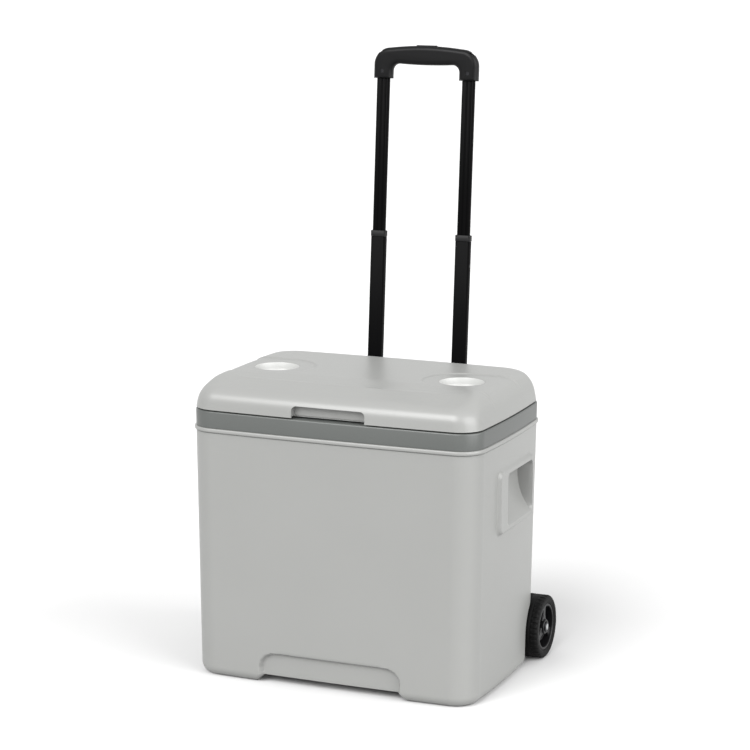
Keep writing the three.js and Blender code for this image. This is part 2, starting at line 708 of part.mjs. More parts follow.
// ---- Release button, its bridge and the rods that it pushes ----
const buttonCap = loft([
  [BRIDGE_HIGH + GAP, 0], [GRIP_TOP + BUTTON_PROUD - 1, 0], [GRIP_TOP + BUTTON_PROUD, 1],
].map(([z, inset]) => atHeight(oval([BUTTON_LENGTH - 2 * inset, BUTTON_WIDTH - 2 * inset], 0, 3.5), z)), LEAN);
add('release_button', buttonCap, 'black');
add('button_bridge', box(
  -POLE_X - 4, POLE_X + 4, -3.5, 3.5, BRIDGE_LOW, BRIDGE_HIGH, LEAN,
), 'black');
for (const [word, side] of SIDES) {
  add(`push_rod_${word}`, prism(
    circle(2, side * POLE_X, 0, 12), 'z', MID_TOP - TOP_INSIDE + 6, BRIDGE_LOW - GAP, LEAN,
  ), 'steel');
}

// ---- Wheels ----
const washerFrom = WELL_INNER + 0.6;
add('axle', rodX(AXLE_RADIUS, -WHEEL_OUTER - 0.6, WHEEL_OUTER + 0.6, WHEEL_Y, WHEEL_Z), 'steel');
for (const [word, side] of SIDES) {
  const ring = (outer, inner, x0, x1, steps = WHEEL_STEPS) => less(
    rodX(outer, side * x0, side * x1, WHEEL_Y, WHEEL_Z, steps),
    rodX(inner, side * (x0 - 1), side * (x1 + 1), WHEEL_Y, WHEEL_Z, steps),
  );
  const spokes = [90, 210, 330].map((angle) => {
    const turn = new THREE.Matrix4()
      .makeTranslation(0, WHEEL_Y, WHEEL_Z)
      .multiply(new THREE.Matrix4().makeRotationX(rad(angle)));
    const x = [side * (WHEEL_INNER + 8), side * (WHEEL_OUTER - 5)].sort((a, b) => a - b);
    return box(...x, HUB_BOSS - 2, RIM_RADIUS - 2, -SPOKE_WIDTH / 2, SPOKE_WIDTH / 2, turn);
  });
  add(`wheel_hub_${word}`, less(join(
    ring(RIM_RADIUS - GAP, RIM_RADIUS - 4, WHEEL_INNER + 2, WHEEL_OUTER - 2),
    ring(HUB_BOSS, AXLE_RADIUS + GAP, WHEEL_INNER, WHEEL_OUTER - 1.6, 16),
    ring(RIM_RADIUS - 3, HUB_BOSS - 2, WHEEL_INNER + 14, WHEEL_INNER + 18),
    ...spokes,
  ), rodX(AXLE_RADIUS + GAP, side * (WHEEL_INNER - 5), side * (WHEEL_OUTER + 5), WHEEL_Y, WHEEL_Z)), 'hub');
  const tread = [];
  for (let k = 0; k < TREAD_NOTCHES; k++) {
    const turn = new THREE.Matrix4()
      .makeTranslation(0, WHEEL_Y, WHEEL_Z)
      .multiply(new THREE.Matrix4().makeRotationX(2 * Math.PI * (k + 0.5) / TREAD_NOTCHES));
    const x = [side * (WHEEL_OUTER - 9), side * (WHEEL_OUTER + 2)].sort((a, b) => a - b);
    tread.push(box(...x, WHEEL_RADIUS - 1.6, WHEEL_RADIUS + 3, -1.3, 1.3, turn));
  }
  const profile = [
    [WHEEL_INNER, RIM_RADIUS], [WHEEL_INNER, WHEEL_RADIUS - 4], [WHEEL_INNER + 4, WHEEL_RADIUS],
    [WHEEL_OUTER - 4, WHEEL_RADIUS], [WHEEL_OUTER, WHEEL_RADIUS - 4], [WHEEL_OUTER, RIM_RADIUS],
  ];
  const body = loft(profile.map(
    ([x, r]) => circle(r, WHEEL_Y, WHEEL_Z, WHEEL_STEPS).map(([y, z]) => [side * x, y, z]),
  ));
  const bore = rodX(
    RIM_RADIUS, side * (WHEEL_INNER - 3), side * (WHEEL_OUTER + 3), WHEEL_Y, WHEEL_Z, WHEEL_STEPS,
  );
  add(`tyre_${word}`, less(body, bore, ...tread), 'rubber');
  add(`washer_${word}`, ring(9, AXLE_RADIUS + GAP, washerFrom, WHEEL_INNER - GAP, 16), 'steel');
  add(`axle_cap_${word}`, ring(8.5, AXLE_RADIUS + GAP, WHEEL_OUTER - 1.2, WHEEL_OUTER + 0.6, 16), 'steel');
}

export default group;
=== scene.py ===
"""Looks for the wheeled cooler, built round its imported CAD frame.

Lengths are in millimetres until a mesh is made.
"""

import json
import math

import bmesh
import bpy
import numpy as np
from mathutils import Matrix, Vector


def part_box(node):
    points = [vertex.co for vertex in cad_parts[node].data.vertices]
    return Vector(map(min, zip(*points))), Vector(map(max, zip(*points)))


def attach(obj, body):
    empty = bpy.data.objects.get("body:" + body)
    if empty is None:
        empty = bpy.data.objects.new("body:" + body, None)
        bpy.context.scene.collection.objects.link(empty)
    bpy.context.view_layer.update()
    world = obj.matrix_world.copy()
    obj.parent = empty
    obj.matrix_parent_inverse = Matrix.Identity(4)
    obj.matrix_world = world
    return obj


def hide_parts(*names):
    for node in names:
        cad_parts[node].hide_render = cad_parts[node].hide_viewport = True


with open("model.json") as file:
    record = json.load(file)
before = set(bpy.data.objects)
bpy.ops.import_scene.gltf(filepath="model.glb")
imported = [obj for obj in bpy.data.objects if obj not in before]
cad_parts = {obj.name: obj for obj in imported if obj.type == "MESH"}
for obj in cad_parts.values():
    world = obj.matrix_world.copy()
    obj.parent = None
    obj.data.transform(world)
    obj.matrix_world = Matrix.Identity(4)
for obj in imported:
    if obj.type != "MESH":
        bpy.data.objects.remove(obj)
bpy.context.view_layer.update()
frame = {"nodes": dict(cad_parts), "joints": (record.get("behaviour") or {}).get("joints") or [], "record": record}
SIDES = (("left", -1), ("right", 1))
MM = 1000.0

# ---- Sizes read from the frame, in millimetres ----


def box_mm(node):
    low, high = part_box(node)
    return np.array(low) * MM, np.array(high) * MM


BOW = 3.4                       # how far each straight side bows out at its middle
DRAFT = 5.0                     # the shell's inset at the floor
SKIN = 3.0
PART_LINE = 2.0                 # the gap between the collar and the lid
COLLAR_EASE = 2.5               # the CAD collar is widest this far below the parting line
collar_low, collar_high = box_mm("collar")
shell_low, shell_high = box_mm("outer_shell")
lid_low, lid_high = box_mm("lid_shell")
liner_low, liner_high = box_mm("inner_liner")
SHELL_TOP = shell_high[2]
PARTING = liner_high[2]
LID_TOP = lid_high[2]
# The shell's draft carries on up the collar, so the collar is this much wider than the shell's top.
COLLAR_GROWTH = DRAFT * (PARTING - COLLAR_EASE - SHELL_TOP) / SHELL_TOP
HALF_W = collar_high[0] - BOW - COLLAR_GROWTH
HALF_D = -collar_low[1] - BOW - COLLAR_GROWTH
LID_BASE = PARTING + PART_LINE
CORNER = 40.0
LINER_HALF_W = liner_high[0]
LINER_HALF_D = liner_high[1]
LINER_TAPER = 14.0
GAP = 0.3

wheel_low, wheel_high = box_mm("tyre_right")
WHEEL_RADIUS = (wheel_high[2] - wheel_low[2]) / 2
WHEEL_Y = (wheel_high[1] + wheel_low[1]) / 2
WHEEL_Z = (wheel_high[2] + wheel_low[2]) / 2
WHEEL_INNER, WHEEL_OUTER = wheel_low[0], wheel_high[0]
WELL_RADIUS = WHEEL_RADIUS + 8.0
WELL_INNER = WHEEL_INNER - 3.5
WELL_BACK = 90.0                # how far the wheel cutters reach behind the axle
CUTTER_SPARE = 60.0             # how far a cutter runs past the surface it cuts
RIM_RADIUS = 38.0
AXLE_RADIUS = 5.0

# The handle's frame: t runs up the poles from the parting line, n points back, square to them.
pole_axis = Vector(next(j["axis"] for j in frame["joints"] if j["name"] == "handle_top_slide"))
lean = math.atan2(pole_axis.y, pole_axis.z)
tube_low, tube_high = box_mm("fixed_tube_right")
tube_middle = (tube_low + tube_high) / 2
POLE_X = tube_middle[0]
pole_y = tube_middle[1] + (PARTING - tube_middle[2]) * math.tan(lean)
LEAN = Matrix.Translation((0, pole_y, PARTING)) @ Matrix.Rotation(-lean, 4, "X")


def pole_span(node, depth):
    """The lowest and highest t of a leaning piece that is `depth` thick."""
    low, high = box_mm(node)
    tilt = depth / 2 * math.sin(lean)
    return (low[2] - PARTING + tilt) / math.cos(lean), (high[2] - PARTING - tilt) / math.cos(lean)


# ---- Mesh helpers ----


def piece(name, points, faces, body, material, replaces=(), matrix=None, sharp=35):
    mesh = bpy.data.meshes.new(name)
    points = np.asarray(points, dtype=float)
    if matrix is not None:
        m = np.array(matrix)
        points = points @ m[:3, :3].T + m[:3, 3]
    mesh.from_pydata((points / MM).tolist(), [], faces)
    clean(mesh)
    shade(mesh, sharp)
    obj = bpy.data.objects.new(name, mesh)
    bpy.context.scene.collection.objects.link(obj)
    mesh.materials.append(material)
    if body:
        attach(obj, body)
    if replaces:
        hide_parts(*replaces)
    return obj


def clean(mesh):
    bm = bmesh.new()
    bm.from_mesh(mesh)
    bmesh.ops.remove_doubles(bm, verts=bm.verts, dist=1e-6)
    bmesh.ops.dissolve_degenerate(bm, edges=bm.edges, dist=1e-6)
    bmesh.ops.recalc_face_normals(bm, faces=bm.faces)
    bm.to_mesh(mesh)
    bm.free()


def shade(mesh, sharp):
    mesh.shade_smooth()
    mesh.set_sharp_from_angle(angle=math.radians(sharp))


def grid_faces(rows, columns, closed_rows=False):
    """Quads over a stack of closed rings."""
    faces = []
    for k in range(rows if closed_rows else rows - 1):
        up = (k + 1) % rows
        for i in range(columns):
            j = (i + 1) % columns
            faces.append((k * columns + i, k * columns + j, up * columns + j, up * columns + i))
    return faces


def capped(rings):
    """Points and faces of a stack of rings, closed by a flat face at each end."""
    rings = np.asarray(rings)
    rows, columns = rings.shape[:2]
    faces = grid_faces(rows, columns)
    faces.append(tuple(reversed(range(columns))))
    faces.append(tuple((rows - 1) * columns + i for i in range(columns)))
    return rings.reshape(-1, 3), faces


def torus(rings):
    rings = np.asarray(rings)
    rows, columns = rings.shape[:2]
    return rings.reshape(-1, 3), grid_faces(rows, columns, closed_rows=True)


CORNER_STEPS = 20


def outline(left, right, front, back, radius, bow=0.0, long_steps=190, short_steps=120):
    """A rounded rectangle as evenly spread points with outward directions, anticlockwise from above."""
    corners = ((right, back, -1, -1), (left, back, 1, -1), (left, front, 1, 1), (right, front, -1, 1))
    centres = [(x + sx * radius, y + sy * radius) for x, y, sx, sy in corners]
    points, normals = [], []
    for k, (cx, cy) in enumerate(centres):
        for a in np.radians(90 * (k + np.linspace(0, 1, CORNER_STEPS + 1))):
            out = (math.cos(a), math.sin(a))
            points.append((cx + radius * out[0], cy + radius * out[1]))
            normals.append(out)
        steps = long_steps if k % 2 == 0 else short_steps
        nx, ny = centres[(k + 1) % 4]
        for s in np.arange(1, steps) / steps:
            push = radius + bow * 4 * s * (1 - s)
            points.append((cx + (nx - cx) * s + out[0] * push, cy + (ny - cy) * s + out[1] * push))
            normals.append(out)
    return np.array(points), np.array(normals)


def at_height(flat, z):
    return np.column_stack([flat, np.full(len(flat), z)])


def smoothstep(low, high, value):
    t = np.clip((value - low) / (high - low), 0, 1)
    return t * t * (3 - 2 * t)


def inside_rounded(u, v, centre, half, radius):
    """How far inside a rounded rectangle each point is; negative outside."""
    du = np.abs(u - centre[0]) - half[0] + radius
    dv = np.abs(v - centre[1]) - half[1] + radius
    outside = np.hypot(np.maximum(du, 0), np.maximum(dv, 0))
    return radius - outside - np.minimum(np.maximum(du, dv), 0)


def prism(name, flat, axis, low, high):
    """A cutter: a flat outline pulled along an axis."""
    place = {
        "x": lambda u, v, w: (w, u, v),
        "y": lambda u, v, w: (u, w, v),
        "z": lambda u, v, w: (u, v, w),
    }[axis]
    rings = [[place(u, v, w) for u, v in flat] for w in (low, high)]
    points, faces = capped(rings)
    return piece(name, points, faces, None, None)


def circle(radius, u, v, steps=96):
    turn = np.linspace(0, 2 * math.pi, steps, endpoint=False)
    return [(u + radius * math.cos(a), v + radius * math.sin(a)) for a in turn]


def cut(obj, cutters, operation="DIFFERENCE"):
    """Applies each cutter to obj, then removes it."""
    for cutter in cutters:
        mod = obj.modifiers.new("cut", "BOOLEAN")
        mod.operation = operation
        mod.solver = "EXACT"
        mod.object = cutter
        depsgraph = bpy.context.evaluated_depsgraph_get()
        mesh = bpy.data.meshes.new_from_object(obj.evaluated_get(depsgraph))
        obj.modifiers.clear()
        obj.data = mesh
        bpy.data.objects.remove(cutter)


def tidy_cut(obj, sharp=35):
    clean(obj.data)
    shade(obj.data, sharp)


# ---- Materials ----


def moulded(
    name, colour, roughness, grain=1400.0, bump=0.06, mottle=0.04, edge=0.0, metallic=0.0, specular=0.5,
):
    """Moulded or painted surface: fine grain, uneven gloss and colour, and paler convex edges that are a painted
    highlight.
    """
    mat = bpy.data.materials.new(name)
    mat.use_nodes = True
    nodes, links = mat.node_tree.nodes, mat.node_tree.links
    shader = nodes["Principled BSDF"]
    shader.inputs["Metallic"].default_value = metallic
    shader.inputs["Specular IOR Level"].default_value = specular
    place = nodes.new("ShaderNodeTexCoord")
    cloud = nodes.new("ShaderNodeTexNoise")
    cloud.inputs["Scale"].default_value = 7.0
    cloud.inputs["Detail"].default_value = 4.0
    fine = nodes.new("ShaderNodeTexNoise")
    fine.inputs["Scale"].default_value = grain
    fine.inputs["Detail"].default_value = 3.0
    links.new(place.outputs["Object"], cloud.inputs["Vector"])
    links.new(place.outputs["Object"], fine.inputs["Vector"])
    tint = nodes.new("ShaderNodeMapRange")
    tint.inputs["From Min"].default_value = 0.3
    tint.inputs["From Max"].default_value = 0.7
    tint.inputs["To Min"].default_value = 1.0 - mottle
    tint.inputs["To Max"].default_value = 1.0 + mottle
    links.new(cloud.outputs["Fac"], tint.inputs["Value"])
    shade_mix = nodes.new("ShaderNodeVectorMath")
    shade_mix.operation = "SCALE"
    shade_mix.inputs[0].default_value = colour
    links.new(tint.outputs["Result"], shade_mix.inputs["Scale"])
    base = shade_mix.outputs["Vector"]
    # Convex edges, found by pointiness, get a paler colour: a painted highlight along the edges.
    if edge:
        geometry = nodes.new("ShaderNodeNewGeometry")
        painted_edge_highlight = nodes.new("ShaderNodeMapRange")
        painted_edge_highlight.inputs["From Min"].default_value = 0.52
        painted_edge_highlight.inputs["From Max"].default_value = 0.62
        painted_edge_highlight.inputs["To Max"].default_value = edge
        links.new(geometry.outputs["Pointiness"], painted_edge_highlight.inputs["Value"])
        mix = nodes.new("ShaderNodeMix")
        mix.data_type = "RGBA"
        highlight_tint = [min(1.0, c * 1.6 + 0.03) for c in colour]
        mix.inputs["B"].default_value = (*highlight_tint, 1)
        links.new(painted_edge_highlight.outputs["Result"], mix.inputs["Factor"])
        links.new(base, mix.inputs["A"])
        base = mix.outputs["Result"]
    links.new(base, shader.inputs["Base Color"])
    gloss = nodes.new("ShaderNodeMapRange")
    gloss.inputs["To Min"].default_value = roughness - 0.06
    gloss.inputs["To Max"].default_value = roughness + 0.06
    links.new(fine.outputs["Fac"], gloss.inputs["Value"])
    links.new(gloss.outputs["Result"], shader.inputs["Roughness"])
    relief = nodes.new("ShaderNodeBump")
    relief.inputs["Strength"].default_value = bump
    relief.inputs["Distance"].default_value = 0.0004
    links.new(fine.outputs["Fac"], relief.inputs["Height"])
    links.new(relief.outputs["Normal"], shader.inputs["Normal"])
    return mat


def brushed(name, colour, roughness, stretch=(4.0, 600.0, 600.0)):
    """Bare steel with fine lines along one axis."""
    mat = moulded(name, colour, roughness, grain=900.0, bump=0.05, mottle=0.03, metallic=1.0)
    nodes, links = mat.node_tree.nodes, mat.node_tree.links
    place = next(n for n in nodes if n.type == "TEX_COORD")
    fine = [n for n in nodes if n.type == "TEX_NOISE"][1]
    mapping = nodes.new("ShaderNodeMapping")
    mapping.inputs["Scale"].default_value = stretch
    fine.inputs["Scale"].default_value = 1.0
    links.new(place.outputs["Object"], mapping.inputs["Vector"])
    links.new(mapping.outputs["Vector"], fine.inputs["Vector"])
    return mat


WHITE = moulded(
    "white_plastic", (0.186, 0.188, 0.182),
    0.36, grain=1500, bump=0.08, mottle=0.012, specular=0.5,
)
# A paler copy of the white plastic for the cup wells' walls: painted light, brightening walls that the lamps leave
# in shade.
LIT_WELL_WHITE = moulded(
    "well_plastic_painted_light", (0.35, 0.353, 0.345),
    0.35, grain=1500, bump=0.06, mottle=0.01, specular=0.3,
)
GREY = moulded(
    "grey_plastic", (0.062, 0.066, 0.063),
    0.36, grain=1500, bump=0.08, mottle=0.02, specular=0.45,
)
LINER_WHITE = moulded("liner_plastic", (0.33, 0.335, 0.325), 0.34, grain=1000, bump=0.04, mottle=0.01)
FOAM = moulded("foam", (0.72, 0.66, 0.44), 0.9, grain=420, bump=0.6, mottle=0.06)
BLACK = moulded(
    "black_plastic", (0.0035, 0.0035, 0.0037),
    0.38, grain=1300, bump=0.16, mottle=0.06, edge=0.2, specular=0.12,
)
TUBE = moulded(
    "black_paint", (0.0005, 0.0005, 0.0006),
    0.30, grain=2200, bump=0.07, mottle=0.05, edge=0.1, specular=0.02,
)
HUB = moulded(
    "hub_plastic", (0.005, 0.005, 0.0055),
    0.36, grain=1300, bump=0.12, mottle=0.05, edge=0.3, specular=0.2,
)
RUBBER = moulded(
    "tyre_rubber", (0.0025, 0.0025, 0.0025),
    0.62, grain=700, bump=0.4, mottle=0.12, edge=0.2, specular=0.12,
)
STEEL = brushed("steel", (0.55, 0.56, 0.57), 0.3)
DARK_STEEL = brushed("dark_steel", (0.03, 0.03, 0.032), 0.4)

# ---- Body shell ----
LIP_HEIGHT = 6.0
LIP_OUT = 2.6
FOOT_ROUND = 15.6
BAY_DEPTH = 8.0
# Half of the front bay's edge as (x, z), from its foot to the middle of its top.
BAY_EDGE = [(131, -4), (117, 13), (119, 26), (116.5, 36), (110, 44.5), (99, 49.5), (84, 51)]
# The arch cut under the front bay: half its width at the top, and how much further out it goes below.
ARCH_REACH = 114.0
ARCH_SPLAY = 17.0
ARCH_HEIGHT = 13.0
ARCH_LENGTH = 60.0
GROOVE_CLEAR = 4.0              # the axle's groove is wider than the axle by this much all round
GRIP_CENTRE = (17.5, 304.0)
GRIP_HALF = (77.5, 50.0)
GRIP_FACE = shell_high[0]
SCOOP_CENTRE = (29.0, 303.5)
SCOOP_HALF = (57.0, 40.5)
SCOOP_DEPTH = 25.0


def shell_ring(z, inset=0.0):
    draft = DRAFT * (1 - z / SHELL_TOP) + inset
    w, d = HALF_W - draft, HALF_D - draft
    flat, _ = outline(-w, w, -d, d, CORNER - min(inset, 10), BOW)
    return at_height(flat, z)


def distance_inside(u, v, corners):
    """Distance of each point inside a polygon; negative outside."""
    inside = np.zeros(u.shape, dtype=bool)
    nearest = np.full(u.shape, 1e9)
    for (ax, ay), (bx, by) in zip(corners, corners[1:] + corners[:1]):
        ex, ey = bx - ax, by - ay
        t = np.clip(((u - ax) * ex + (v - ay) * ey) / (ex * ex + ey * ey), 0, 1)
        nearest = np.minimum(nearest, np.hypot(u - ax - t * ex, v - ay - t * ey))
        if ey:
            crosses = (ay > v) != (by > v)
            inside ^= crosses & (u < ax + (v - ay) * ex / ey)
    return np.where(inside, nearest, -nearest)


def shell_levels():
    """Heights with insets, from the floor up over the lip."""
    levels = []
    for a in np.radians(np.linspace(0, 90, 13)):
        levels.append((FOOT_ROUND * (1 - math.cos(a)), FOOT_ROUND * (1 - math.sin(a))))
    lip = SHELL_TOP - LIP_HEIGHT
    levels += [(z, 0.0) for z in np.linspace(FOOT_ROUND, lip - 1.8, 170)[1:]]
    levels += [(lip - 1.0, 0.8), (lip - 0.1, 0.8), (lip + 0.1, -1.6), (lip + 0.7, -2.4)]
    levels += [(lip + 1.5, -LIP_OUT), (SHELL_TOP - 1.5, -LIP_OUT)]
    levels += [(SHELL_TOP - 0.5, -2.0), (SHELL_TOP, -1.0)]
    return levels


def add_front_bay(points):
    corners = BAY_EDGE + [(-x, z) for x, z in reversed(BAY_EDGE)]
    front = points[..., 1] < -HALF_D + 30
    depth = distance_inside(points[..., 0], points[..., 2], corners)
    push = BAY_DEPTH * smoothstep(-1.5, 3.5, depth) * front
    points[..., 1] += push


def add_side_grips(points):
    y, z = points[..., 1], points[..., 2]
    frame_in = inside_rounded(y, z, GRIP_CENTRE, GRIP_HALF, 11.0)
    scoop_in = inside_rounded(y, z, SCOOP_CENTRE, SCOOP_HALF, 8.0)
    rise = (z - (SCOOP_CENTRE[1] - SCOOP_HALF[1])) / (2 * SCOOP_HALF[1])
    scoop = SCOOP_DEPTH * (1 - (1 - np.clip(rise, 0, 1)) ** 3)
    for _, side in SIDES:
        on_side = points[..., 0] * side > HALF_W - 20
        lift = smoothstep(-2.5, 3.0, frame_in) * on_side
        face = points[..., 0] * side
        face = face + (GRIP_FACE - 0.1 - face) * lift
        face = face - scoop * smoothstep(-0.8, 2.2, scoop_in) * on_side
        points[..., 0] = np.where(on_side, face * side, points[..., 0])


def liner_ring(z, grow):
    taper = LINER_TAPER * (PARTING - z) / (PARTING - liner_low[2])
    w, d = LINER_HALF_W - taper + grow, LINER_HALF_D - taper + grow
    flat, _ = outline(-w, w, -d, d, 26.0)
    return at_height(flat, z)


def wheel_well(side):
    """The room that a wheel needs in the shell's bottom corner."""
    reach = HALF_W + CUTTER_SPARE
    arch = []
    for a in np.radians(np.linspace(90, 180, 40)):
        arch.append((WHEEL_Y + WELL_RADIUS * math.cos(a), WHEEL_Z + WELL_RADIUS * math.sin(a)))
    back = WHEEL_Y + WELL_BACK
    arch += [(WHEEL_Y - WELL_RADIUS, -30), (back, -30), (back, WHEEL_Z + WELL_RADIUS)]
    low, high = sorted((side * WELL_INNER, side * reach))
    return prism("cutter", arch, "x", low, high)


def build_shell():
    rings = np.array([shell_ring(z, inset) for z, inset in shell_levels()])
    add_front_bay(rings)
    add_side_grips(rings)
    cavity = [liner_ring(z, GAP) for z in (SHELL_TOP, 250, 120, liner_low[2] - GAP)]
    points, faces = capped(np.concatenate([rings, np.array(cavity)]))
    shell = piece(
        "shell", points, faces, "cooler_body", WHITE, ("outer_shell", "foam_core"),
    )
    foot = ARCH_REACH + ARCH_SPLAY
    arch = [(-foot, -3), (-ARCH_REACH, ARCH_HEIGHT), (ARCH_REACH, ARCH_HEIGHT), (foot, -3)]
    groove = AXLE_RADIUS + GROOVE_CLEAR
    groove_outline = [
        (WHEEL_Y - groove, WHEEL_Z - groove),
        (WHEEL_Y + WELL_BACK, WHEEL_Z - groove),
        (WHEEL_Y + WELL_BACK, WHEEL_Z + groove),
        (WHEEL_Y - groove, WHEEL_Z + groove),
    ]
    cut(shell, [
        prism("cutter", arch, "y", -HALF_D - CUTTER_SPARE, -HALF_D + ARCH_LENGTH),
        prism("cutter", groove_outline, "x", -HALF_W - 40, HALF_W + 40),
        wheel_well(-1),
        wheel_well(1),
    ])
    tidy_cut(shell)


build_shell()

# ---- Collar ----
COLLAR_BASE = SHELL_TOP + GAP
hinge_joint = next(j for j in frame["joints"] if j["name"] == "lid_hinge")
HINGE = [v * MM for v in hinge_joint["pos_m"]]
HINGE_X = 150.0
pin_low, pin_high = box_mm("hinge_pin_left")
PIN_BORE = (pin_high[2] - pin_low[2]) / 2 + GAP
KNUCKLE_STEP = 14.5
KNUCKLE_RADIUS = 5.0
KNUCKLE_HALF = 7.0
KNUCKLE_EASE = 0.6
WEB_LENGTH = 9.0
WEB_CLEAR = 0.9


def knuckle(name, x, low, high, body, material):
    """A hinge knuckle bored for the pin, with its web, which stops short of the bore."""
    hinge_y = HINGE[1]
    half, eased = KNUCKLE_HALF, KNUCKLE_RADIUS - KNUCKLE_EASE
    inner = half - KNUCKLE_EASE
    sections = (
        (-half, PIN_BORE), (-half, eased), (-inner, KNUCKLE_RADIUS),
        (inner, KNUCKLE_RADIUS), (half, eased), (half, PIN_BORE),
    )
    rings = [
        [(x + end, y, z) for y, z in circle(radius, hinge_y, HINGE[2], 40)] for end, radius in sections
    ]
    points, faces = torus(rings)
    piece(name, points, faces, body, material)
    near = hinge_y - PIN_BORE - WEB_CLEAR
    far = hinge_y - WEB_LENGTH
    web = [(far, low), (near, low), (near, high), (far, high)]
    rings = [[(w, y, z) for y, z in web] for w in (x - half, x + half)]
    points, faces = capped(rings)
    piece(name + "_web", points, faces, body, material)


def build_collar():
    levels = [(COLLAR_BASE, 0.3), (COLLAR_BASE + 0.4, 0.0), (PARTING - 2.4, 0.0), (PARTING - 1.2, 0.35)]
    levels += [(PARTING - 0.4, 0.9), (PARTING, 1.8)]
    rings = [shell_ring(z, inset) for z, inset in levels]
    rings += [liner_ring(PARTING, 2.2 + GAP), liner_ring(PARTING - 1.0, GAP)]
    rings.append(liner_ring(COLLAR_BASE, 1.2 + GAP))
    points, faces = torus(rings)
    piece("collar_ring", points, faces, "cooler_body", GREY, ("collar",))
    for word, side in SIDES:
        for spot, end in (("outer", 1), ("inner", -1)):
            x = side * (HINGE_X + end * KNUCKLE_STEP)
            knuckle(
                f"collar_knuckle_{spot}_{word}", x, PARTING - 9, PARTING - 0.5,
                "cooler_body", GREY,
            )
        knuckle(
            f"lid_knuckle_{word}", side * HINGE_X, LID_BASE + 0.5, LID_BASE + 6,
            "lid", WHITE,
        )


build_collar()

# ---- Lid ----
# Profiles as (inset, drop below the lid's top), from the lid's bottom edge to its flat top.
SIDE_PROFILE = [(1, 48), (3, 38), (5.5, 28), (9, 19), (14, 12), (19, 6), (26, 2), (34, 0.4), (42, 0)]
FRONT_PROFILE = [(-1.5, 48), (-0.5, 31), (3, 23), (9, 17.3), (18, 13.3), (30, 10.3), (45, 6.9), (60, 3.3)]
BACK_PROFILE = [(0.5, 48), (1, 31), (2.5, 22), (4.5, 13), (8, 6.6), (13, 2.6), (19, 0.6), (27, 0)]
PROFILE_STEPS = 64
CREASE_DROP = 3.3
CUP_X = 158.0
CUP_Y = 0.0
CUP_RADIUS = 35.0
CHANNEL_RADIUS = 62.0
CHANNEL_DEPTH = 1.5
CUP_DEPTH = 15.0
CUP_FLOOR_ROUND = 6.0
NOTCH_HALF = 61.0
NOTCH_HEIGHT = 19.0
NOTCH_DEPTH = 9.0
NOTCH_ROUND = 8.0


def smooth_profile(knots, steps):
    """Evenly spaced points along a profile, with its corners eased."""
    knots = np.array(knots, dtype=float)
    along = np.concatenate([[0], np.cumsum(np.hypot(*np.diff(knots, axis=0).T))])
    even = np.linspace(0, along[-1], steps)
    curve = np.column_stack([np.interp(even, along, knots[:, c]) for c in (0, 1)])
    for _ in range(14):
        curve[1:-1] = (curve[:-2] + 2 * curve[1:-1] + curve[2:]) / 4
    return curve


def grid_normals(points):
    """Outward direction at each point of a stack of rings."""
    around = np.roll(points, -1, axis=1) - np.roll(points, 1, axis=1)
    up = np.gradient(points, axis=0)
    normal = np.cross(around, up)
    return normal / np.maximum(np.linalg.norm(normal, axis=2, keepdims=True), 1e-9)


def lid_rings():
    profiles = (SIDE_PROFILE, FRONT_PROFILE, BACK_PROFILE)
    side, front, back = (smooth_profile(p, PROFILE_STEPS) for p in profiles)
    rings = []
    for k in range(PROFILE_STEPS):
        radius = CORNER - 8 * k / (PROFILE_STEPS - 1)
        flat, normal = outline(
            -HALF_W + side[k, 0], HALF_W - side[k, 0],
            -HALF_D + front[k, 0], HALF_D - back[k, 0], radius, BOW,
        )
        on_side = normal[:, 0] ** 2
        on_front = np.minimum(normal[:, 1], 0) ** 2
        on_back = np.maximum(normal[:, 1], 0) ** 2
        drop = on_side * side[k, 1] + on_front * front[k, 1] + on_back * back[k, 1]
        rings.append(np.column_stack([flat, LID_TOP - drop]))
    rings = np.array(rings)
    rim = rings[-1]
    centre = np.array([0, (rim[:, 1].max() + rim[:, 1].min()) / 2])
    inner = []
    for share in np.linspace(0, 1, 112)[1:-1]:
        flat = centre + (rim[:, :2] - centre) * (1 - share)
        tilt = LID_TOP - CREASE_DROP * smoothstep(45, 100, -flat[:, 1])
        ease = smoothstep(0, 0.12, share)
        inner.append(np.column_stack([flat, rim[:, 2] * (1 - ease) + tilt * ease]))
    return np.concatenate([rings, np.array(inner)])


def add_channels(points):
    """The shallow channel from each cup well out over the lid's end."""
    normal = grid_normals(points)
    x, y = np.abs(points[..., 0]), points[..., 1] - CUP_Y
    round_end = CHANNEL_RADIUS - np.hypot(x - CUP_X, y)
    straight = CHANNEL_RADIUS - np.abs(y)
    inside = np.where(x > CUP_X, straight, round_end)
    fade = smoothstep(LID_TOP - 30, LID_TOP - 4, points[..., 2])
    depth = CHANNEL_DEPTH * smoothstep(-1.3, 1.3, inside) * fade
    points -= normal * depth[..., None]


def cup_cutter(side):
    floor = LID_TOP - CHANNEL_DEPTH - CUP_DEPTH
    rim = LID_TOP - CHANNEL_DEPTH
    layers = [(floor, CUP_RADIUS - 8)]
    inner = CUP_RADIUS - CUP_FLOOR_ROUND - 1
    layers += [
        (floor + CUP_FLOOR_ROUND * (1 - math.cos(a)), inner + CUP_FLOOR_ROUND * math.sin(a))
        for a in np.radians(np.linspace(15, 90, 8))
    ]
    layers += [(rim - 1.6, CUP_RADIUS), (rim - 0.6, CUP_RADIUS + 0.4), (rim, CUP_RADIUS + 1.2)]
    layers.append((LID_TOP + 6, CUP_RADIUS + 1.4))
    rings = [[(u, v, z) for u, v in circle(r, side * CUP_X, CUP_Y)] for z, r in layers]
    points, faces = capped(rings)
    return piece("cutter", points, faces, None, None)


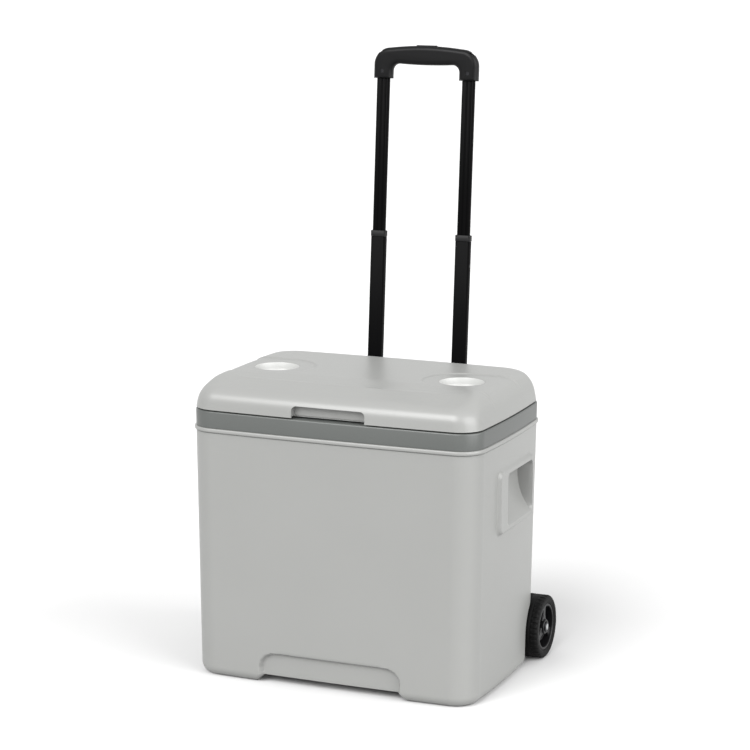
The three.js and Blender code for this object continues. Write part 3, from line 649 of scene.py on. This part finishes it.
def notch_cutter():
    high = LID_BASE + NOTCH_HEIGHT
    flat = [(-NOTCH_HALF, LID_BASE - 20), (NOTCH_HALF, LID_BASE - 20)]
    for a in np.radians(np.linspace(0, 180, 26)):
        sign = 1 if math.cos(a) >= 0 else -1
        x = sign * (NOTCH_HALF - NOTCH_ROUND) + NOTCH_ROUND * math.cos(a)
        flat.append((x, high - NOTCH_ROUND + NOTCH_ROUND * math.sin(a)))
    return prism("cutter", flat, "y", -HALF_D - CUTTER_SPARE, -HALF_D + NOTCH_DEPTH)


def build_lid():
    rings = lid_rings()
    add_channels(rings)
    rim_in = SKIN + GAP
    side_in, front_in, back_in = SIDE_PROFILE[0][0], FRONT_PROFILE[0][0], BACK_PROFILE[0][0]
    eased = rings[0].copy()
    eased[:, 2] = LID_BASE + 0.6
    inner_flat, _ = outline(
        -HALF_W + rim_in + side_in, HALF_W - rim_in - side_in,
        -HALF_D + rim_in + front_in, HALF_D - rim_in - back_in, CORNER - SKIN, BOW,
    )
    ease = 0.6
    flat_low, _ = outline(
        -HALF_W + side_in + ease, HALF_W - side_in - ease,
        -HALF_D + front_in + ease, HALF_D - back_in - ease, CORNER, BOW,
    )
    under = [at_height(inner_flat, LID_BASE + 3.1), at_height(inner_flat, LID_BASE)]
    under += [at_height(flat_low, LID_BASE), eased]
    points, faces = capped(np.concatenate([np.array(under), rings[1:]]))
    lid = piece("lid_top", points, faces, "lid", WHITE, ("lid_shell", "lid_foam"))
    cut(lid, [cup_cutter(-1), cup_cutter(1), notch_cutter()])
    tidy_cut(lid)
    # The cup wells' walls take the paler copy of the white plastic: painted light.
    lid.data.materials.append(LIT_WELL_WHITE)
    rim = LID_TOP - CHANNEL_DEPTH - 0.3
    under_well = LID_TOP - 20
    for face in lid.data.polygons:
        x, y, z = face.center * MM
        near = math.hypot(abs(x) - CUP_X, y - CUP_Y) < CUP_RADIUS + 0.5
        face.material_index = 1 if near and under_well < z < rim else 0


build_lid()

# ---- Handle tubes ----


def fluted(width, depth, radius, flute=0.0, grow=0.0, steps=10):
    """A tube's section, with shallow grooves down its broad faces when `flute` isn't zero."""
    w, d = width / 2 + grow, depth / 2 + grow
    flat = []
    for k in range(4):
        sx, sy = ((1, 1), (-1, 1), (-1, -1), (1, -1))[k]
        for a in np.radians(90 * (k + np.linspace(0, 1, steps + 1))):
            flat.append((sx * (w - radius) + radius * math.cos(a), sy * (d - radius) + radius * math.sin(a)))
        if k % 2 == 0:
            for u in np.linspace(1, -1, 41)[1:-1]:
                x = u * (w - radius)
                dip = flute * max(0.0, math.sin(u * 2.5 * math.pi)) if abs(u) < 0.8 else 0.0
                flat.append((sy * x, sy * (d - dip)))
    return flat


def leaning_pipe(name, x, section, wall, low, high, body, material, replaces):
    def ring(shrink, t):
        flat = section(-shrink)
        return [(x + u, v, t) for u, v in flat]
    rings = [ring(0.4, low), ring(0, low + 0.4), ring(0, high - 0.5), ring(0.35, high)]
    rings += [ring(wall, high), ring(wall, low)]
    points, faces = torus(rings)
    return piece(name, points, faces, body, material, replaces, matrix=LEAN, sharp=40)


MID_TUBE = (25.0, 12.5)
TOP_TUBE = (21.5, 8.8)
BUSH = (26.0, 13.4)


def build_tubes():
    for word, side in SIDES:
        x = side * POLE_X
        low, high = pole_span(f"mid_tube_{word}", MID_TUBE[1])
        leaning_pipe(
            f"middle_pole_{word}", x, lambda grow: fluted(*MID_TUBE, 3.0, 0.0, grow), 1.2, low, high,
            "handle_middle", TUBE, (f"mid_tube_{word}",),
        )
        low, high = pole_span(f"top_tube_{word}", TOP_TUBE[1])
        leaning_pipe(
            f"top_pole_{word}", x, lambda grow: fluted(*TOP_TUBE, 2.6, 0.55, grow), 1.1, low, high,
            "handle_top", TUBE, (f"top_tube_{word}",),
        )
        low, high = pole_span(f"mid_bush_{word}", BUSH[1])
        leaning_pipe(
            f"pole_bush_{word}", x, lambda grow: fluted(*BUSH, 3.2, 0.0, grow), 1.9, low, high,
            "handle_middle", BLACK, (f"mid_bush_{word}",),
        )


build_tubes()

# ---- Hand grip ----
GRIP_THICK = 19.5
GRIP_LEG_WIDTH = 32.0
GRIP_LEG = 24.5
GRIP_CORNER = 28.0
GRIP_CROWN = 4.0
GRIP_SAG = 1.4
GRIP_ROUND = 8.0
GRIP_INNER = 12.0               # the inner round between a leg and the bar
TUBE_IN_GRIP = 7.0              # how far a tube's end stands above the bar's underside
SCREW_UP = 12.0                 # a screw's height above the leg's foot
SCREW_ROOM = 3.3
SCREW_SINK = 2.6
grip_foot = pole_span("top_tube_right", TOP_TUBE[1])[1] - GRIP_LEG - TUBE_IN_GRIP
GRIP_UNDER = grip_foot + GRIP_LEG
GRIP_OUTER = POLE_X + GRIP_LEG_WIDTH / 2
GRIP_TOP = GRIP_UNDER + 30.0


def arc(cx, cz, radius, start, end, steps):
    return [
        (cx + radius * math.cos(a), cz + radius * math.sin(a))
        for a in np.radians(np.linspace(start, end, steps))
    ]


def grip_outline(off):
    inner = POLE_X - GRIP_LEG_WIDTH / 2
    turn = inner - GRIP_INNER
    under = [
        (x, GRIP_UNDER + off - GRIP_SAG * (1 - (x / turn) ** 2)) for x in np.linspace(2, turn - 3, 10)
    ]
    under += list(reversed(arc(turn, GRIP_UNDER - GRIP_INNER, GRIP_INNER + off, 0, 90, 12)))
    half = under + [(inner + off, grip_foot + off * 0.6), (GRIP_OUTER - off, grip_foot + off * 0.6)]
    end = GRIP_OUTER - GRIP_CORNER
    half += arc(end, GRIP_TOP - GRIP_CORNER - GRIP_CROWN, GRIP_CORNER - off, 0, 83, 26)
    half += [(x, GRIP_TOP - GRIP_CROWN * (x / end) ** 2 - off) for x in np.linspace(end - 3, 2, 14)]
    return half + [(-x, z) for x, z in reversed(half)]


def build_grip():
    half = GRIP_THICK / 2
    for word, facing in (("front", -1), ("rear", 1)):
        layers = [(GAP / 2, 0.35), (GAP / 2 + 0.4, 0), (half - GRIP_ROUND, 0)]
        layers += [
            (half - GRIP_ROUND + GRIP_ROUND * math.sin(a), GRIP_ROUND * (1 - math.cos(a)))
            for a in np.radians(np.linspace(10, 90, 11))
        ]
        rings = [[(x, facing * n, t) for x, t in grip_outline(inset)] for n, inset in layers]
        points, faces = capped(rings)
        cover = piece(
            f"grip_cover_{word}", points, faces, "handle_top", BLACK,
            (f"grip_{word}",), matrix=LEAN,
        )
        room = [
            slab(-GRIP_OUTER + 8, GRIP_OUTER - 8, -half + 3, half - 3, GRIP_UNDER + 4, GRIP_TOP - 9),
            slab(-18.5, 18.5, -5, 5, GRIP_TOP - 15, GRIP_TOP + 5),
        ]
        for _, side in SIDES:
            room.append(slab(
                side * POLE_X - TOP_TUBE[0] / 2 - GAP, side * POLE_X + TOP_TUBE[0] / 2 + GAP,
                -TOP_TUBE[1] / 2 - GAP, TOP_TUBE[1] / 2 + GAP,
                grip_foot - 5, GRIP_UNDER + TUBE_IN_GRIP + 1,
            ))
            if facing < 0:
                spot = (side * POLE_X, grip_foot + SCREW_UP)
                room.append(leaning_rod(SCREW_ROOM, *spot, -half - 1, -half + SCREW_SINK))
        cut(cover, room)
        tidy_cut(cover, 30)


def slab(x0, x1, n0, n1, t0, t1):
    flat = [(x0, n0), (x1, n0), (x1, n1), (x0, n1)]
    rings = [[(u, v, t) for u, v in flat] for t in (t0, t1)]
    points, faces = capped(rings)
    return piece("cutter", points, faces, None, None, matrix=LEAN)


def leaning_rod(radius, x, t, n0, n1):
    rings = [[(u, n, v) for u, v in circle(radius, x, t, 40)] for n in (n0, n1)]
    points, faces = capped(rings)
    return piece("cutter", points, faces, None, None, matrix=LEAN)


build_grip()

# ---- Wheels ----


def spin(profile, side, steps=144, ripple=None):
    """Turns a closed (x, radius) profile about the axle."""
    rings = []
    for x, radius in profile:
        ring = []
        for a in np.linspace(0, 2 * math.pi, steps, endpoint=False):
            r = radius - (ripple(x, radius, a) if ripple else 0.0)
            ring.append((side * x, WHEEL_Y + r * math.cos(a), WHEEL_Z + r * math.sin(a)))
        rings.append(ring)
    return torus(rings)


TREAD_BLOCKS = 36
TYRE_ROUND = 5.0
SPOKE_DEGREES = (90, 210, 330)


def tread(x, radius, angle):
    """Short grooves across each shoulder of the tyre."""
    if radius < WHEEL_RADIUS - 2.2:
        return 0.0
    middle = (WHEEL_INNER + WHEEL_OUTER) / 2
    side_share = smoothstep(6.0, 8.5, abs(x - middle))
    wave = 0.5 + 0.5 * math.cos(TREAD_BLOCKS * angle)
    return 1.5 * float(side_share) * float(smoothstep(0.72, 0.9, wave))


def tyre_profile():
    """The tyre's section as (x, radius), with a groove each side of its middle."""
    inner, outer = WHEEL_INNER, WHEEL_OUTER
    profile = [(inner + 1.2, RIM_RADIUS), (inner, RIM_RADIUS + 1.5), (inner, WHEEL_RADIUS - 5.5)]
    shoulder = WHEEL_RADIUS - TYRE_ROUND
    profile += [
        (inner + TYRE_ROUND * (1 - math.cos(a)), shoulder + TYRE_ROUND * math.sin(a))
        for a in np.radians(np.linspace(10, 90, 8))
    ]
    middle = (inner + outer) / 2
    for x in np.linspace(inner + 6, outer - 6, 15):
        profile.append((x, WHEEL_RADIUS - (0.9 if abs(abs(x - middle) - 4.5) < 0.9 else 0.0)))
    profile += [
        (outer - TYRE_ROUND * (1 - math.sin(a)), shoulder + TYRE_ROUND * math.cos(a))
        for a in np.radians(np.linspace(0, 80, 8))
    ]
    profile += [(outer, WHEEL_RADIUS - 5.5), (outer, RIM_RADIUS + 3.5), (outer - 0.8, RIM_RADIUS + 2.6)]
    profile += [(outer - 0.8, RIM_RADIUS + 1.2), (outer - 1.2, RIM_RADIUS)]
    return profile


def hub_rim_profile():
    """The section of the rim, disc and boss as (x, radius)."""
    inner, outer = WHEEL_INNER + 2, WHEEL_OUTER - 1.6
    top, low = RIM_RADIUS - GAP, RIM_RADIUS - 4
    disc = WHEEL_INNER + 18
    return [
        (inner, top), (outer - 0.8, top), (outer, top - 0.8), (outer, low + 0.8), (outer - 0.8, low),
        (disc + 1, low - 0.5), (disc, 26), (disc + 1, 24.5), (outer - 9, 24),
        (outer - 8, 23), (outer - 8, 22), (outer - 9, 21), (disc, 20), (disc, 13),
        (outer - 1, 12), (outer, 11), (outer, 8.8), (outer - 2.4, 8.6), (outer - 2.4, AXLE_RADIUS + GAP),
        (WHEEL_INNER, AXLE_RADIUS + GAP), (WHEEL_INNER, 12), (WHEEL_INNER + 14, 13),
        (WHEEL_INNER + 14, low - 0.5), (inner, low),
    ]


def spoke(side, angle):
    """A tapered spoke from the boss to the rim, with eased edges. Its sections are (radius, half width)."""
    sections = [(11.0, 7.5), (17.0, 5.6), (25.0, 5.2), (31.0, 6.6), (RIM_RADIUS - 3, 9.5)]
    face = WHEEL_OUTER - 4.5
    back = WHEEL_INNER + 16
    across, along = math.sin(angle), math.cos(angle)
    rings = []
    for r, half in sections:
        ring = [
            (side * back, -half), (side * (face - 1.2), -half), (side * face, -half + 1.2),
            (side * face, half - 1.2), (side * (face - 1.2), half), (side * back, half),
        ]
        rings.append([
            (x, WHEEL_Y + r * along - c * across, WHEEL_Z + r * across + c * along) for x, c in ring
        ])
    return capped(rings)


def build_wheels():
    for word, side in SIDES:
        body = f"wheel_{word}"
        points, faces = spin(tyre_profile(), side, 288, tread)
        piece(f"tyre_ring_{word}", points, faces, body, RUBBER, (f"tyre_{word}",), sharp=45)
        points, faces = spin(hub_rim_profile(), side, 96)
        piece(f"hub_{word}", points, faces, body, HUB, (f"wheel_hub_{word}",))
        for k, degrees in enumerate(SPOKE_DEGREES):
            points, faces = spoke(side, math.radians(degrees))
            piece(f"spoke_{word}_{k}", points, faces, body, HUB)
        tip = WHEEL_OUTER + 0.6
        bore = AXLE_RADIUS + 0.1
        back = WHEEL_OUTER - 3.5
        cap = [(back, bore), (back, 8.2), (tip - 1.2, 8.2), (tip - 0.4, 7.6), (tip - 0.4, bore)]
        points, faces = spin(cap, side, 64)
        piece(f"axle_end_{word}", points, faces, "cooler_body", DARK_STEEL, (f"axle_cap_{word}",))


build_wheels()

# ---- CAD nodes that stay: smooth shading, eased edges and a finish ----
FINISH = {
    "liner_plastic": LINER_WHITE, "foam": FOAM, "black_plastic": BLACK, "tube_black": TUBE, "steel": STEEL,
    "rubber": RUBBER, "hub_plastic": HUB, "shell_plastic": WHITE, "trim_plastic": GREY,
}
slot_of = {row["node"]: row["material_slot"] for row in frame["record"]["subparts"]}
EASED = {
    "rear_housing": 1.4, "top_guide": 0.5, "guide_bush_left": 0.5, "guide_bush_right": 0.5,
    "release_button": 0.4, "axle": 1.6,
}
for name, node in frame["nodes"].items():
    node.data.materials.clear()
    look = DARK_STEEL if name.startswith("grip_screw") else FINISH[slot_of[name]]
    node.data.materials.append(look)
    shade(node.data, 25)
    if name in EASED:
        bevel = node.modifiers.new("ease", "BEVEL")
        bevel.width = EASED[name] / MM
        bevel.segments = 3
        bevel.limit_method = "ANGLE"
        bevel.angle_limit = math.radians(40)
        bevel.harden_normals = False

# ---- Floor, light and camera ----


def stage_floor():
    mesh = bpy.data.meshes.new("floor")
    half = 30.0
    corners = [(-half, -half, 0), (half, -half, 0), (half, half, 0), (-half, half, 0)]
    mesh.from_pydata(corners, [], [(0, 1, 2, 3)])
    floor = bpy.data.objects.new("floor", mesh)
    bpy.context.scene.collection.objects.link(floor)
    mat = bpy.data.materials.new("floor")
    mat.use_nodes = True
    shader = mat.node_tree.nodes["Principled BSDF"]
    shader.inputs["Base Color"].default_value = (0.52, 0.52, 0.52, 1)
    shader.inputs["Roughness"].default_value = 0.9
    shader.inputs["Specular IOR Level"].default_value = 0.0
    mesh.materials.append(mat)


def soft_sun(name, azimuth, elevation, spread, strength):
    """A broad distant light. Azimuth 0 is straight in front, positive towards the cooler's right."""
    data = bpy.data.lights.new(name, "SUN")
    data.angle = math.radians(spread)
    data.energy = strength
    light = bpy.data.objects.new(name, data)
    az, el = math.radians(azimuth), math.radians(elevation)
    towards = Vector((math.sin(az) * math.cos(el), -math.cos(az) * math.cos(el), math.sin(el)))
    light.rotation_euler = towards.to_track_quat("Z", "Y").to_euler()
    bpy.context.scene.collection.objects.link(light)


def build_light():
    world = bpy.data.worlds.new("studio")
    world.use_nodes = True
    sky = world.node_tree.nodes["Background"]
    sky.inputs["Color"].default_value = (1, 1, 1, 1)
    sky.inputs["Strength"].default_value = 1.02
    bpy.context.scene.world = world
    bpy.context.scene.view_settings.view_transform = "Standard"
    soft_sun("key", -12, 39, 40, 4.1)
    soft_sun("side", 78, 20, 60, 4.1)


# The photograph's viewpoint: angles in degrees, lengths in metres, and the lens in mm.
CAMERA_AZIMUTH = 22.57
CAMERA_ELEVATION = 10.87
CAMERA_ROLL = 0.33
CAMERA_DISTANCE = 3.83646
CAMERA_TARGET = (0.01175, 0.0, 0.47721)
CAMERA_LENS = 116.93


def build_camera():
    data = bpy.data.cameras.new("camera")
    data.lens = CAMERA_LENS
    data.sensor_width = 36
    data.clip_end = 100
    camera = bpy.data.objects.new("camera", data)
    az, el = math.radians(CAMERA_AZIMUTH), math.radians(CAMERA_ELEVATION)
    back = Vector((math.sin(az) * math.cos(el), -math.cos(az) * math.cos(el), math.sin(el)))
    right = (-back).cross(Vector((0, 0, 1))).normalized()
    up = right.cross(-back)
    roll = math.radians(CAMERA_ROLL)
    turned_right = right * math.cos(roll) + up * math.sin(roll)
    turned_up = up * math.cos(roll) - right * math.sin(roll)
    basis = Matrix((turned_right, turned_up, back)).transposed().to_4x4()
    camera.matrix_world = Matrix.Translation(Vector(CAMERA_TARGET) + back * CAMERA_DISTANCE) @ basis
    bpy.context.scene.collection.objects.link(camera)
    bpy.context.scene.camera = camera


stage_floor()
build_light()
build_camera()
